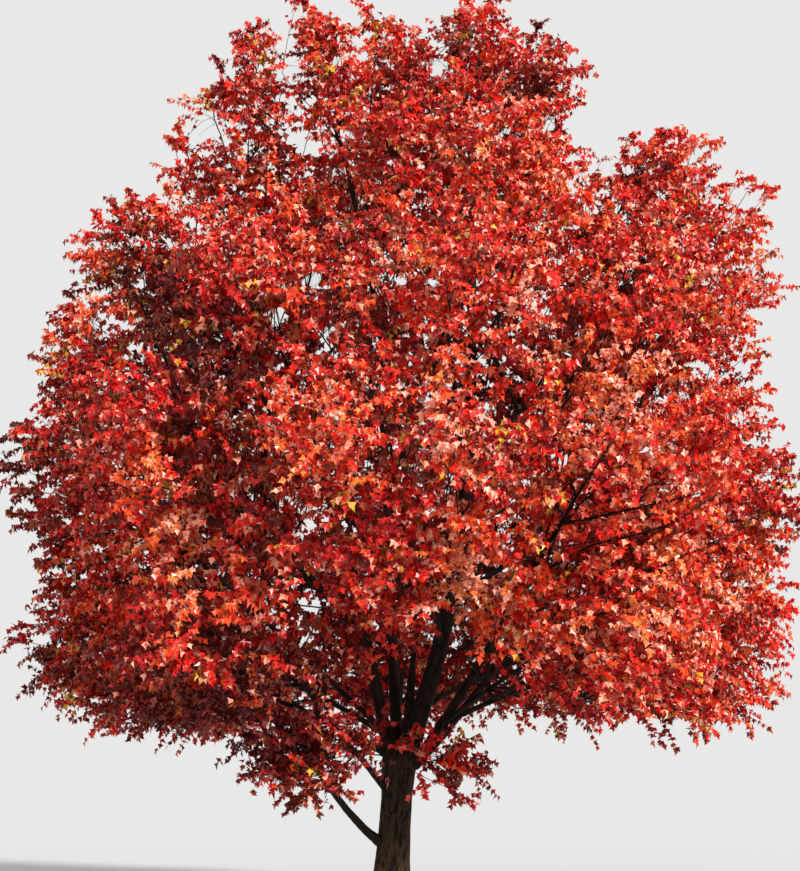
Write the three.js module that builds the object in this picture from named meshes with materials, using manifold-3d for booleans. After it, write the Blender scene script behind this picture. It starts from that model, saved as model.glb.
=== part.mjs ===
// A red maple in autumn leaf: a short trunk that forks low into six stems, the boughs that
// leave them, and the foliage masses that stand in tiers round a hollow middle.
//
// Millimetres, +Z up. The origin is the middle of the flat cut at ground level.
// A bearing is an angle round the tree seen from above: 0 is right (+X), 90 back (+Y),
// 180 left and 270 front. A climb is the angle of a limb above level, in degrees.

import * as THREE from 'three';
import { mergeVertices } from 'three/addons/utils/BufferGeometryUtils.js';
import Module from 'manifold-3d';

const wasm = await Module();
wasm.setup();

// ---------------------------------------------------------------- driving dimensions

const GAP = 1; // left between a piece and whatever it is cut by
const CROWN_LEAN = 0.05; // how far the crown's middle moves right for each unit of height

const TRUNK = {
  height: 1950, // to the top of the fork
  breastHeight: 1300,
  radius: 176, // at breast height
  taper: 0.02, // lost from the radius for each unit of height
  lean: 0.07, // to the right for each unit of height
  flare: 150, // added to the radius at the ground
  flareHeight: 250, // height over which the flare dies away
  buttresses: 5, // root ridges round the flare
  ridge: 0.16, // how far they stand out, as a share of the radius
  ridgeTurn: 0.6, // where the first ridge stands, in radians
  swell: 48, // the thickening below the fork
  sides: 18,
  // Heights of the rings, as shares of the whole, up to where the top rounds over.
  rings: [0, 0.03, 0.07, 0.12, 0.2, 0.32, 0.5, 0.68, 0.8, 0.9],
};

// Stems and boughs. Each row: name, parent, height of its foot, radius at foot and tip,
// bearing and climb as it leaves, the mass that it runs to, and its climb on the way in.
const STEMS = [
  ['great_limb', 'trunk', 1600, 132, 45, 352, 67, 'peak_right', 88],
  ['stem_left', 'trunk', 1440, 92, 32, 178, 77, 'shoulder_left', 40],
  ['stem_back', 'trunk', 1480, 92, 36, 94, 66, 'shoulder_back', 62],
  ['stem_centre', 'trunk', 1500, 62, 30, 15, 78, 'peak_left', 80],
  ['stem_right', 'trunk', 1440, 68, 28, 340, 51, 'shoulder_right', 66],
  ['stem_low_right', 'trunk', 1480, 62, 26, 346, 42, 'flank_right', 22],
];

const BOUGHS = [
  ['bough_low_left', 'trunk', 700, 66, 26, 192, 34, 'low_left', 26],
  ['bough_skirt_left_front', 'trunk', 1260, 44, 22, 212, 48, 'skirt_left_front', 18],
  ['bough_skirt_left', 'trunk', 1740, 48, 22, 182, 30, 'skirt_left', 14],
  ['bough_flank_left', 'stem_left', 2060, 40, 22, 180, 42, 'flank_left', 36],
  ['bough_skirt_left_back', 'stem_back', 1960, 44, 22, 150, 30, 'skirt_left_back', 16],
  ['bough_skirt_back', 'stem_back', 2250, 44, 22, 82, 30, 'skirt_back', 14],
  ['bough_skirt_right_back', 'stem_back', 2120, 42, 22, 30, 34, 'skirt_right_back', 14],
  ['bough_skirt_right', 'stem_low_right', 2250, 36, 20, 2, 26, 'skirt_right', 10],
  ['bough_skirt_right_front', 'stem_right', 2150, 36, 20, 318, 30, 'skirt_right_front', 20],
  ['bough_flank_left_front', 'stem_left', 3000, 42, 22, 226, 44, 'flank_left_front', 34],
  ['bough_flank_front', 'great_limb', 3050, 46, 22, 268, 40, 'flank_front', 30],
  ['bough_flank_right_front', 'stem_right', 2900, 38, 20, 300, 42, 'flank_right_front', 26],
  ['bough_flank_back', 'stem_back', 3300, 44, 22, 80, 40, 'flank_back', 26],
  ['bough_flank_right_back', 'great_limb', 3500, 44, 22, 40, 38, 'flank_right_back', 26],
  ['bough_flank_left_back', 'stem_back', 3000, 42, 22, 150, 40, 'flank_left_back', 28],
  ['bough_shoulder_front', 'great_limb', 4700, 46, 22, 265, 48, 'shoulder_front', 40],
  ['bough_shoulder_right_back', 'great_limb', 5000, 42, 22, 40, 46, 'shoulder_right_back', 40],
];

// Foliage, tier by tier. Each row: name, bearing, reach from the crown's middle, height of
// its centre, half its width across the bearing, and half its height.
const TIERS = {
  skirt: [
    ['skirt_right', 0, 3400, 3000, 1350, 1050],
    ['skirt_right_back', 46, 3350, 3300, 1450, 1050],
    ['skirt_back', 90, 3300, 3150, 1450, 1100],
    ['skirt_left_back', 134, 3200, 3050, 1450, 1100],
    ['skirt_left', 180, 3100, 2950, 1400, 1100],
    ['skirt_left_front', 226, 2950, 3000, 1350, 1100],
    ['skirt_right_front', 318, 3000, 3250, 1300, 1050],
    ['low_left', 235, 1830, 1800, 780, 670],
    ['low_right', 315, 860, 1700, 400, 450],
  ],
  flank: [
    ['flank_right', 358, 3280, 4850, 1500, 1350],
    ['flank_right_back', 42, 3500, 4950, 1450, 1350],
    ['flank_back', 86, 3450, 5000, 1450, 1350],
    ['flank_left_back', 132, 3450, 4950, 1450, 1300],
    ['flank_left', 182, 3650, 4950, 1300, 1150],
    ['flank_left_front', 222, 3200, 4950, 1400, 1300],
    ['flank_front', 268, 3000, 4700, 1450, 1450],
    ['flank_right_front', 314, 3200, 4950, 1450, 1350],
  ],
  shoulder: [
    ['shoulder_right', 2, 2950, 7450, 1400, 1400],
    ['shoulder_right_back', 52, 2900, 7000, 1350, 1300],
    ['shoulder_back', 100, 2900, 7100, 1350, 1300],
    ['shoulder_left_back', 146, 2900, 7000, 1300, 1250],
    ['shoulder_left_low', 184, 3450, 6250, 1100, 1000],
    ['shoulder_left', 184, 2950, 7700, 1250, 1100],
    ['shoulder_left_front', 228, 2600, 6850, 1300, 1250],
    ['shoulder_front', 276, 2450, 6900, 1350, 1300],
    ['shoulder_right_front', 322, 2700, 6850, 1400, 1300],
  ],
  crest: [
    ['crest_right', 4, 2950, 8700, 850, 880],
    ['crest_right_back', 62, 2000, 8750, 1200, 1150],
    ['crest_back', 120, 1900, 8850, 1100, 1100],
    ['crest_left', 176, 1900, 8900, 950, 950],
    ['crest_front', 285, 1250, 8700, 1300, 1250],
  ],
  peak: [
    ['peak_left', 196, 1250, 9950, 800, 1050],
    ['peak_left_outer', 188, 2200, 9900, 700, 760],
    ['peak_right', 340, 560, 10000, 700, 1150],
    ['peak_right_outer', 356, 1250, 9850, 720, 900],
    ['peak_back', 96, 750, 10100, 850, 850],
  ],
};

const MASS = {
  detail: 2, // subdivisions of the icosahedron
  outwardShare: 0.88, // half the outward size, as a share of the half width
  unevenness: 0.13, // lumps, as a share of the radius
  waves: [2.1, 3.7, 5.6], // lumps of three sizes
  flatUnder: 0.12, // how much flatter the underside is
};

const LIMB = {
  sides: 6,
  step: 700, // length of one ring's stretch
  leastSteps: 5,
  taper: 0.7, // under 1, so that a limb thins fastest near its foot
  bend: 0.36, // how far each end's direction carries, as a share of the span
};


const COLOURS = {
  trunk: 0x3a2a1c,
  stem: 0x33251a,
  bough: 0x2e2118,
  leaves: [0xa83a30, 0x9a3226, 0xb04434, 0x8c2c22, 0xa44a30, 0xb33a3c],
};

// ---------------------------------------------------------------- solids and meshes

const UP = new THREE.Vector3(0, 0, 1);

function closedGeometry(geometry) {
  const bare = geometry.clone();
  bare.deleteAttribute('normal');
  bare.deleteAttribute('uv');
  const merged = mergeVertices(bare, 0.01);
  const corners = merged.index.array;
  const kept = [];
  for (let i = 0; i < corners.length; i += 3) {
    const [a, b, c] = [corners[i], corners[i + 1], corners[i + 2]];
    if (a !== b && b !== c && c !== a) kept.push(a, b, c);
  }
  merged.setIndex(kept);
  return merged;
}

function solidFrom(geometry) {
  const closed = closedGeometry(geometry);
  const mesh = new wasm.Mesh({
    numProp: 3,
    vertProperties: new Float32Array(closed.attributes.position.array),
    triVerts: new Uint32Array(closed.index.array),
  });
  return new wasm.Manifold(mesh);
}

function geometryFrom(solid) {
  const mesh = solid.getMesh();
  const geometry = new THREE.BufferGeometry();
  geometry.setAttribute('position', new THREE.BufferAttribute(mesh.vertProperties, 3));
  geometry.setIndex(new THREE.BufferAttribute(mesh.triVerts, 1));
  geometry.computeVertexNormals();
  return geometry;
}

function moveVertices(geometry, move) {
  const places = geometry.attributes.position;
  const point = new THREE.Vector3();
  for (let i = 0; i < places.count; i += 1) {
    point.fromBufferAttribute(places, i);
    move(point);
    places.setXYZ(i, point.x, point.y, point.z);
  }
  return geometry;
}

function outward(bearing) {
  const angle = THREE.MathUtils.degToRad(bearing);
  return new THREE.Vector3(Math.cos(angle), Math.sin(angle), 0);
}

function climbing(bearing, climb) {
  const angle = THREE.MathUtils.degToRad(climb);
  return outward(bearing).multiplyScalar(Math.cos(angle)).addScaledVector(UP, Math.sin(angle));
}

// ---------------------------------------------------------------- foliage masses

function massFrom([name, bearing, reach, height, halfWidth, halfHeight], seed) {
  const out = outward(bearing);
  const centre = out.clone().multiplyScalar(reach);
  centre.x += CROWN_LEAN * height;
  centre.z = height;
  const axes = [out, new THREE.Vector3().crossVectors(UP, out), UP];
  const halves = [MASS.outwardShare * halfWidth, halfWidth, halfHeight];
  return { name, centre, axes, halves, seed };
}

function smoothRadius(mass, direction) {
  const squares = mass.axes.map((axis, i) => (direction.dot(axis) / mass.halves[i]) ** 2);
  return 1 / Math.sqrt(squares[0] + squares[1] + squares[2]);
}

function unevenShare(direction, seed) {
  let share = 0;
  MASS.waves.forEach((pitch, i) => {
    const phase = seed * 2.399 + i * 1.7;
    const across = Math.sin(pitch * direction.x + phase) * Math.cos(pitch * direction.y - 2 * phase);
    share += across + Math.sin(pitch * direction.z + 3 * phase);
  });
  return 1 + (MASS.unevenness * share) / 2;
}

// Half the length of a mass along a direction: where a flat plate across it would touch.
function support(mass, direction) {
  const squares = mass.axes.map((axis, i) => (direction.dot(axis) * mass.halves[i]) ** 2);
  return Math.sqrt(squares[0] + squares[1] + squares[2]);
}

// Between two masses stands a flat boundary, half way across whatever they share.
function boundariesOf(mass, masses) {
  return masses
    .filter((other) => other !== mass)
    .map((other) => {
      const normal = other.centre.clone().sub(mass.centre);
      const apart = normal.length();
      normal.divideScalar(apart);
      const limit = (apart + support(mass, normal) - support(other, normal)) / 2;
      return { normal, limit: limit - GAP / 2 };
    });
}

function massGeometry(mass, masses, extra = 0) {
  const boundaries = boundariesOf(mass, masses);
  const shape = new THREE.IcosahedronGeometry(1, MASS.detail);
  return moveVertices(shape, (point) => {
    const direction = point.clone().normalize();
    let radius = smoothRadius(mass, direction) * unevenShare(direction, mass.seed);
    if (direction.z < 0) radius *= 1 + MASS.flatUnder * direction.z;
    for (const { normal, limit } of boundaries) {
      const facing = direction.dot(normal);
      if (facing > 0) radius = Math.min(radius, limit / facing);
    }
    point.copy(direction).multiplyScalar(radius + extra).add(mass.centre);
  });
}

// ---------------------------------------------------------------- trunk

function trunkCentre(height) {
  return new THREE.Vector3(TRUNK.lean * height, 0, height);
}

function trunkRadius(height) {
  const flare = TRUNK.flare * Math.exp(-height / TRUNK.flareHeight);
  const swell = TRUNK.swell * THREE.MathUtils.smoothstep(height, 0.6 * TRUNK.height, TRUNK.height);
  return TRUNK.radius - TRUNK.taper * (height - TRUNK.breastHeight) + flare + swell;
}

function trunkProfile(extra) {
  const heights = TRUNK.rings.map((share) => share * TRUNK.height);
  const profile = heights.map((height) => new THREE.Vector2(trunkRadius(height) + extra, height));
  const shoulder = profile.at(-1);
  const rise = TRUNK.height + extra - shoulder.y;
  for (const turn of [30, 60]) {
    const angle = THREE.MathUtils.degToRad(turn);
    const [across, up] = [shoulder.x * Math.cos(angle), rise * Math.sin(angle)];
    profile.push(new THREE.Vector2(across, shoulder.y + up));
  }
  return [new THREE.Vector2(0, 0), ...profile, new THREE.Vector2(0, shoulder.y + rise)];
}

function trunkGeometry(extra = 0) {
  const lathe = new THREE.LatheGeometry(trunkProfile(extra), TRUNK.sides);
  lathe.rotateX(Math.PI / 2);
  return moveVertices(lathe, (point) => {
    const turn = Math.atan2(point.y, point.x);
    const fade = Math.exp(-point.z / TRUNK.flareHeight);
    const ridge = 1 + TRUNK.ridge * fade * Math.cos(TRUNK.buttresses * turn + TRUNK.ridgeTurn);
    point.x = point.x * ridge + TRUNK.lean * point.z;
    point.y *= ridge;
  });
}

// ---------------------------------------------------------------- limbs

function pointAtHeight(limb, height) {
  if (!limb.curve) return trunkCentre(height);
  let [low, high] = [0, 1];
  while (high - low > 1e-6) {
    const middle = (low + high) / 2;
    if (limb.curve.getPoint(middle).z < height) low = middle;
    else high = middle;
  }
  return limb.curve.getPoint(low);
}

// A limb is one smooth curve from a foot inside its parent to the middle of its mass.
function limbFrom(row, limbs, massNamed) {
  const [name, parent, height, footRadius, tipRadius, bearing, climb, target, arrival] = row;
  const foot = pointAtHeight(limbs.get(parent), height);
  const tip = massNamed.get(target).centre;
  const span = tip.clone().sub(foot);
  const bend = LIMB.bend * span.length();
  const inBearing = THREE.MathUtils.radToDeg(Math.atan2(span.y, span.x));
  const leaving = foot.clone().addScaledVector(climbing(bearing, climb), bend);
  const arriving = tip.clone().addScaledVector(climbing(inBearing, arrival), -bend);
  return { name, footRadius, tipRadius, curve: new THREE.CubicBezierCurve3(foot, leaving, arriving, tip) };
}

function limbGeometry(limb, extra = 0) {
  const length = limb.curve.getLength();
  const steps = Math.max(LIMB.leastSteps, Math.ceil(length / LIMB.step));
  const profile = [new THREE.Vector2(0, 0)];
  for (let i = 0; i <= steps; i += 1) {
    const radius = THREE.MathUtils.lerp(limb.footRadius, limb.tipRadius, (i / steps) ** LIMB.taper);
    profile.push(new THREE.Vector2(radius + extra, i / steps));
  }
  profile.push(new THREE.Vector2(0, 1));
  const lathe = new THREE.LatheGeometry(profile, LIMB.sides);
  const side = new THREE.Vector3();
  const other = new THREE.Vector3();
  return moveVertices(lathe, (point) => {
    const along = THREE.MathUtils.clamp(point.y, 0, 1);
    const centre = limb.curve.getPoint(along);
    const tangent = limb.curve.getTangent(along);
    side.crossVectors(tangent, UP).normalize();
    other.crossVectors(side, tangent);
    const [across, over] = [point.x, point.z];
    point.copy(centre).addScaledVector(side, across).addScaledVector(other, over);
  });
}

function largestPiece(solid) {
  const pieces = solid.decompose();
  return pieces.reduce((best, piece) => (piece.volume() > best.volume() ? piece : best));
}

// ---------------------------------------------------------------- the tree

function material(colour, roughness) {
  return new THREE.MeshStandardMaterial({ color: colour, roughness, metalness: 0 });
}

function addPiece(tree, name, geometry, finish) {
  const mesh = new THREE.Mesh(geometry, finish);
  mesh.name = name;
  tree.add(mesh);
}

function addFoliage(tree, masses) {
  masses.forEach((mass, i) => {
    const colour = COLOURS.leaves[i % COLOURS.leaves.length];
    addPiece(tree, mass.name, closedGeometry(massGeometry(mass, masses)), material(colour, 0.6));
  });
}

// Each limb is cut by the trunk, by the limbs before it and by the masses. What is left is
// its run from the wood that it grows on to the mass that it enters.
function addLimbs(tree, masses, limbs) {
  const cuts = masses.map((mass) => solidFrom(massGeometry(mass, masses, GAP)));
  cuts.push(solidFrom(trunkGeometry(GAP)));
  for (const limb of limbs) {
    let solid = solidFrom(limbGeometry(limb));
    for (const cut of cuts) solid = solid.subtract(cut);
    const colour = limb.name.startsWith('bough') ? COLOURS.bough : COLOURS.stem;
    addPiece(tree, limb.name, geometryFrom(largestPiece(solid)), material(colour, 0.9));
    cuts.push(solidFrom(limbGeometry(limb, GAP)));
  }
}

const masses = Object.values(TIERS).flat().map((row, i) => massFrom(row, i + 1));
const massNamed = new Map(masses.map((mass) => [mass.name, mass]));
const limbs = new Map([['trunk', {}]]);
for (const row of [...STEMS, ...BOUGHS]) limbs.set(row[0], limbFrom(row, limbs, massNamed));
limbs.delete('trunk');

const tree = new THREE.Group();
addPiece(tree, 'trunk', closedGeometry(trunkGeometry()), material(COLOURS.trunk, 0.92));
addFoliage(tree, masses);
addLimbs(tree, masses, [...limbs.values()]);

export default tree;
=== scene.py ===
# %% [markdown]
# # A red maple in full autumn colour
# The tree is an open-grown maple about eleven metres tall, with a short trunk that forks low into
# one great limb and five lighter stems, and a broad crown of red leaves down to head height.
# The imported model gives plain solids: tapering limbs, and thirty-six closed masses for the foliage.
# This lesson keeps every size from that model and grows the real thing inside it: bark over the
# wood, then boughs, twigs and leaves that carry on from the ends of the limbs.
# A tree could also be scattered from ready-made branches, but growing it keeps each leaf on a twig,
# each twig on a bough, and each bough on a limb, which is what makes the gaps look right.

import math

import bpy
import numpy as np
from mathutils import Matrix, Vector, noise
from mathutils.bvhtree import BVHTree
from mathutils.kdtree import KDTree


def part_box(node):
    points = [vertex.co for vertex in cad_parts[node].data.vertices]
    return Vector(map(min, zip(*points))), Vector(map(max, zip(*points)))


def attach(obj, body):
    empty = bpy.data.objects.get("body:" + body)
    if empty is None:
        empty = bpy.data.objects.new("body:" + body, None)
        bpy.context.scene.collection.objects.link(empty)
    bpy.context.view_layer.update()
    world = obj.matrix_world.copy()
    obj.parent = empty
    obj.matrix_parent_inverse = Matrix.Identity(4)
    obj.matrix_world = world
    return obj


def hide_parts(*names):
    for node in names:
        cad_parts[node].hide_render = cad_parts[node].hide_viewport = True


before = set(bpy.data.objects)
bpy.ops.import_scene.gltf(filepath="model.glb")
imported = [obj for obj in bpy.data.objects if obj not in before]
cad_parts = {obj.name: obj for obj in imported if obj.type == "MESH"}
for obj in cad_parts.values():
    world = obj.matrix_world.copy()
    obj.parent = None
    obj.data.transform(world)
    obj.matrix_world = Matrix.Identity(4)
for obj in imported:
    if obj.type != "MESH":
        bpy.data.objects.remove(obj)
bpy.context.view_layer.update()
chance = np.random.default_rng(20)

# %% [markdown]
# ## Sorting the nodes
# The model names its wood and its foliage plainly. The trunk stands alone, the stems and boughs are
# limbs, and everything else is a mass of leaves. Sorting them by name once means that no later step
# needs a list of numbers: every place is read from the node itself.

# %% Wood and foliage nodes
LIMB_WORDS = ("great_limb", "stem_", "bough_")
limb_names = sorted(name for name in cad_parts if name.startswith(LIMB_WORDS))
mass_names = sorted(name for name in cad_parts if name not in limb_names and name != "trunk")
UP = np.array([0.0, 0.0, 1.0])
print(len(limb_names), "limbs and", len(mass_names), "masses of foliage")


def mesh_arrays(name):
    """A node's vertices and triangles as arrays."""
    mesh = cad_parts[name].data
    mesh.calc_loop_triangles()
    points = np.empty(len(mesh.vertices) * 3)
    mesh.vertices.foreach_get("co", points)
    corners = np.empty(len(mesh.loop_triangles) * 3, np.int32)
    mesh.loop_triangles.foreach_get("vertices", corners)
    return points.reshape(-1, 3), corners.reshape(-1, 3)


def unit(vectors):
    """The same directions, one long."""
    vectors = np.asarray(vectors, float)
    return vectors / np.maximum(np.linalg.norm(vectors, axis=-1, keepdims=True), 1e-9)


# %% [markdown]
# ## Making meshes from arrays
# A tree has more than a hundred thousand leaves, so each kind is one joined mesh. Building it face
# by face would take minutes. Blender can take whole arrays of points and corners at once, and that
# is the way used here for the bark, the twigs and the leaves alike.

# %% Mesh helpers
def make_piece(name, points, face_blocks, material, smooth):
    """One object from points and from blocks of faces, each block an array with a row per face."""
    blocks = [np.asarray(block, np.int32) for block in face_blocks if len(block)]
    corners = np.concatenate([block.ravel() for block in blocks])
    sizes = np.concatenate([np.full(len(block), block.shape[1], np.int32) for block in blocks])
    mesh = bpy.data.meshes.new(name)
    mesh.vertices.add(len(points))
    mesh.vertices.foreach_set("co", np.asarray(points, np.float32).ravel())
    mesh.loops.add(len(corners))
    mesh.loops.foreach_set("vertex_index", corners)
    mesh.polygons.add(len(sizes))
    starts = np.concatenate([[0], np.cumsum(sizes)[:-1]])
    mesh.polygons.foreach_set("loop_start", starts.astype(np.int32))
    mesh.polygons.foreach_set("use_smooth", np.full(len(sizes), smooth))
    mesh.update(calc_edges=True)
    mesh.materials.append(material)
    piece = bpy.data.objects.new(name, mesh)
    bpy.context.scene.collection.objects.link(piece)
    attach(piece, "root")
    triangles = int((sizes - 2).sum())
    print(name, len(points), "points", triangles, "triangles")
    return piece


def tubes(lines, radii, sides):
    """Tapering tubes along lines of the same number of points, closed at the far end.
    lines is (tubes, points, 3) and radii is (tubes, points)."""
    lines = np.asarray(lines, float)
    tube_count, ring_count = lines.shape[:2]
    along = unit(np.gradient(lines, axis=1))
    least = np.abs(along.mean(1)).argmin(-1)
    reference = np.eye(3)[least][:, None, :]
    across = unit(np.cross(along, reference))
    upright = np.cross(along, across)
    turn = np.arange(sides) * 2 * math.pi / sides
    spokes = (
        across[:, :, None, :] * np.cos(turn)[:, None] + upright[:, :, None, :] * np.sin(turn)[:, None]
    )
    points = lines[:, :, None, :] + spokes * np.asarray(radii)[:, :, None, None]
    first = np.arange(tube_count)[:, None, None] * ring_count * sides
    ring = np.arange(ring_count - 1)[None, :, None] * sides
    side = np.arange(sides)[None, None, :]
    after = (side + 1) % sides
    start = first + ring
    walls = np.stack([start + side, start + after, start + sides + after, start + sides + side], -1)
    last = (np.arange(tube_count) * ring_count + ring_count - 1)[:, None] * sides
    ends = last + np.arange(sides)[None, :]
    return points.reshape(-1, 3), walls.reshape(-1, 4), ends


def smooth_line(points, count):
    """The line through these points as a flowing curve with evenly spaced new points."""
    points = np.asarray(points, float)
    padded = np.vstack([2 * points[0] - points[1], points, 2 * points[-1] - points[-2]])
    step = np.linspace(0, len(points) - 1 - 1e-9, max(count * 3, 40))
    k = step.astype(int)
    t = (step - k)[:, None]
    a, b, c, d = padded[k], padded[k + 1], padded[k + 2], padded[k + 3]
    second, third = 2 * a - 5 * b + 4 * c - d, 3 * b - a - 3 * c + d
    fine = 0.5 * (2 * b + (c - a) * t + second * t**2 + third * t**3)
    reach = np.concatenate([[0], np.cumsum(np.linalg.norm(np.diff(fine[:, :3], axis=0), axis=1))])
    even = np.linspace(0, reach[-1], count)
    return np.stack([np.interp(even, reach, column) for column in fine.T], -1), even


# %% [markdown]
# ## Bark
# Red maple bark is smooth and grey on young wood. On an old trunk it breaks into long narrow plates
# with dark furrows between them, and against the light it reads as a deep olive brown.
# The plates could be painted with a bump map alone, but the trunk shows in outline, so the furrows
# are real dents in the mesh, and the shader darkens them further and adds the fine grain. One node
# group holds the pattern, and each of the three bark materials uses it with values of its own.

# %% The pattern that all bark shares
def socket(tree, name, kind, incoming, value=None):
    """A named socket on a node group."""
    way = "INPUT" if incoming else "OUTPUT"
    made = tree.interface.new_socket(name=name, in_out=way, socket_type=kind)
    if value is not None:
        made.default_value = value
    return made


def bark_pattern_group():
    """Turns a place on the bark into masks: plates, streaks along the grain, and a height."""
    tree = bpy.data.node_groups.new("bark_pattern", "ShaderNodeTree")
    socket(tree, "Place", "NodeSocketVector", True)
    socket(tree, "Furrow", "NodeSocketFloat", True, 0.0)
    socket(tree, "Streak size", "NodeSocketFloat", True, 60.0)
    socket(tree, "Patch size", "NodeSocketFloat", True, 3.0)
    socket(tree, "Light", "NodeSocketFloat", False)
    socket(tree, "Patch", "NodeSocketFloat", False)
    socket(tree, "Height", "NodeSocketFloat", False)
    node, link = tree.nodes.new, tree.links.new
    inside, outside = node("NodeGroupInput"), node("NodeGroupOutput")
    stretched = node("ShaderNodeVectorMath")
    stretched.operation = "MULTIPLY"
    stretched.inputs[1].default_value = (1.0, 1.0, 0.16)
    link(inside.outputs["Place"], stretched.inputs[0])
    streaks = node("ShaderNodeTexNoise")
    streaks.inputs["Detail"].default_value = 5.0
    streaks.inputs["Roughness"].default_value = 0.6
    link(stretched.outputs[0], streaks.inputs["Vector"])
    link(inside.outputs["Streak size"], streaks.inputs["Scale"])
    patches = node("ShaderNodeTexNoise")
    patches.inputs["Detail"].default_value = 2.0
    link(inside.outputs["Place"], patches.inputs["Vector"])
    link(inside.outputs["Patch size"], patches.inputs["Scale"])
    plate = node("ShaderNodeMath")
    plate.operation = "SUBTRACT"
    plate.inputs[0].default_value = 1.0
    link(inside.outputs["Furrow"], plate.inputs[1])
    lit = node("ShaderNodeMath")
    lit.operation = "MULTIPLY"
    link(plate.outputs[0], lit.inputs[0])
    link(streaks.outputs["Fac"], lit.inputs[1])
    height = node("ShaderNodeMath")
    height.operation = "MULTIPLY_ADD"
    height.inputs[1].default_value = 0.5
    link(plate.outputs[0], height.inputs[0])
    link(streaks.outputs["Fac"], height.inputs[2])
    link(lit.outputs[0], outside.inputs["Light"])
    link(patches.outputs["Fac"], outside.inputs["Patch"])
    link(height.outputs[0], outside.inputs["Height"])
    return tree


bark_pattern = bark_pattern_group()
print("bark pattern with", len(bark_pattern.nodes), "nodes")


# %% One bark material per kind of wood
def screen_colour(colour):
    """A colour on the 0 to 255 scale of a screen, as the linear light that shaders use."""
    share = np.asarray(colour, float) / 255
    linear = np.where(share <= 0.04045, share / 12.92, ((share + 0.055) / 1.055) ** 2.4)
    return (*linear.tolist(), 1.0)


def remapped(tree, source, **ends):
    """A value stretched from one range to another, such as from_min=0.2 or to_max=0.6."""
    stretch = tree.nodes.new("ShaderNodeMapRange")
    for end, value in ends.items():
        stretch.inputs[end.replace("_", " ").title()].default_value = value
    tree.links.new(source, stretch.inputs["Value"])
    return stretch.outputs["Result"]


def bark_material(name, furrow_colour, plate_colour, patch_colour, streak_size, patch_size, bump):
    """Bark with dark furrows, lighter plates and slow patches of another tone."""
    material = bpy.data.materials.new(name)
    material.use_nodes = True
    tree = material.node_tree
    node, link = tree.nodes.new, tree.links.new
    shader = tree.nodes["Principled BSDF"]
    shader.inputs["Specular IOR Level"].default_value = 0.25
    place = node("ShaderNodeAttribute")
    place.attribute_name = "bark_place"
    furrow = node("ShaderNodeAttribute")
    furrow.attribute_name = "bark_furrow"
    pattern = node("ShaderNodeGroup")
    pattern.node_tree = bark_pattern
    pattern.inputs["Streak size"].default_value = streak_size
    pattern.inputs["Patch size"].default_value = patch_size
    link(place.outputs["Vector"], pattern.inputs["Place"])
    link(furrow.outputs["Fac"], pattern.inputs["Furrow"])
    plates = node("ShaderNodeMix")
    plates.data_type = "RGBA"
    plates.inputs["A"].default_value = screen_colour(furrow_colour)
    plates.inputs["B"].default_value = screen_colour(plate_colour)
    link(remapped(tree, pattern.outputs["Light"], from_min=0.15, from_max=0.65), plates.inputs["Factor"])
    toned = node("ShaderNodeMix")
    toned.data_type = "RGBA"
    toned.inputs["B"].default_value = screen_colour(patch_colour)
    amount = remapped(tree, pattern.outputs["Patch"], from_min=0.45, from_max=0.75, to_max=0.6)
    link(amount, toned.inputs["Factor"])
    link(plates.outputs["Result"], toned.inputs["A"])
    link(toned.outputs["Result"], shader.inputs["Base Color"])
    link(remapped(tree, pattern.outputs["Light"], to_min=0.95, to_max=0.7), shader.inputs["Roughness"])
    relief = node("ShaderNodeBump")
    relief.inputs["Strength"].default_value = bump
    relief.inputs["Distance"].default_value = 0.01
    link(pattern.outputs["Height"], relief.inputs["Height"])
    link(relief.outputs["Normal"], shader.inputs["Normal"])
    return material


trunk_bark = bark_material("trunk_bark", (12, 7, 3), (66, 48, 27), (38, 34, 17), 30.0, 2.4, 1.0)
# The limbs' bark is darker than the trunk's: an olive brown, darkened further to paint the deep shade
# under the crown.
limb_bark = bark_material("limb_bark", (9, 5, 3), (40, 27, 17), (27, 22, 12), 44.0, 3.0, 0.8)
twig_bark = bark_material("twig_bark", (18, 7, 5), (42, 20, 14), (50, 30, 20), 90.0, 5.0, 0.2)
print("bark materials made")

# %% [markdown]
# ## Leaf colours
# The leaves turn at different times, so their tints differ at random. The tints also paint the
# crown's light and shade: sprays that face the sun at the right and top get more scarlet to
# orange-red, as painted light, and those inside and low on the shaded side get more wine and rust,
# as painted shade. A few leaves show pale undersides, which in sunny sprays also stand for painted
# glints, and a few are gold. The tints are set here and were tuned over many renders. A colour that
# depends on place would be lost on a mesh of so many leaves, so each tint is a plain material of its
# own, and the sprays are dealt out among them further on.
# A low roughness gives the waxy glints that a real leaf throws back at the sun.

# %% Leaf tints: colour, warmth from 0 to 1, and share of the crown
TINTS = {
    "wine": ((100, 8, 10), 0.05, 0.9),
    "rust": ((140, 52, 14), 0.18, 0.9),
    "crimson": ((184, 17, 15), 0.35, 1.3),
    "scarlet": ((224, 32, 19), 0.55, 1.6),
    "flame": ((236, 78, 28), 0.72, 1.5),
    "orange": ((240, 122, 50), 0.95, 0.45),
    # Coral: pale undersides, also dealt to sunny sprays as painted glints.
    "coral": ((251, 160, 134), 0.90, 0.35),
    "gold": ((206, 160, 48), 0.45, 0.10),
}
LEAF_ROUGHNESS = 0.34
LEAF_GLOSS = 0.45


def leaf_material(name, colour):
    """A waxy leaf of one plain colour."""
    material = bpy.data.materials.new(name)
    material.use_nodes = True
    shader = material.node_tree.nodes["Principled BSDF"]
    shader.inputs["Base Color"].default_value = screen_colour(colour)
    shader.inputs["Roughness"].default_value = LEAF_ROUGHNESS
    shader.inputs["Specular IOR Level"].default_value = LEAF_GLOSS
    material.diffuse_color = screen_colour(colour)
    return material


leaf_materials = {tint: leaf_material("leaf_" + tint, row[0]) for tint, row in TINTS.items()}
print(len(leaf_materials), "leaf tints")

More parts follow.
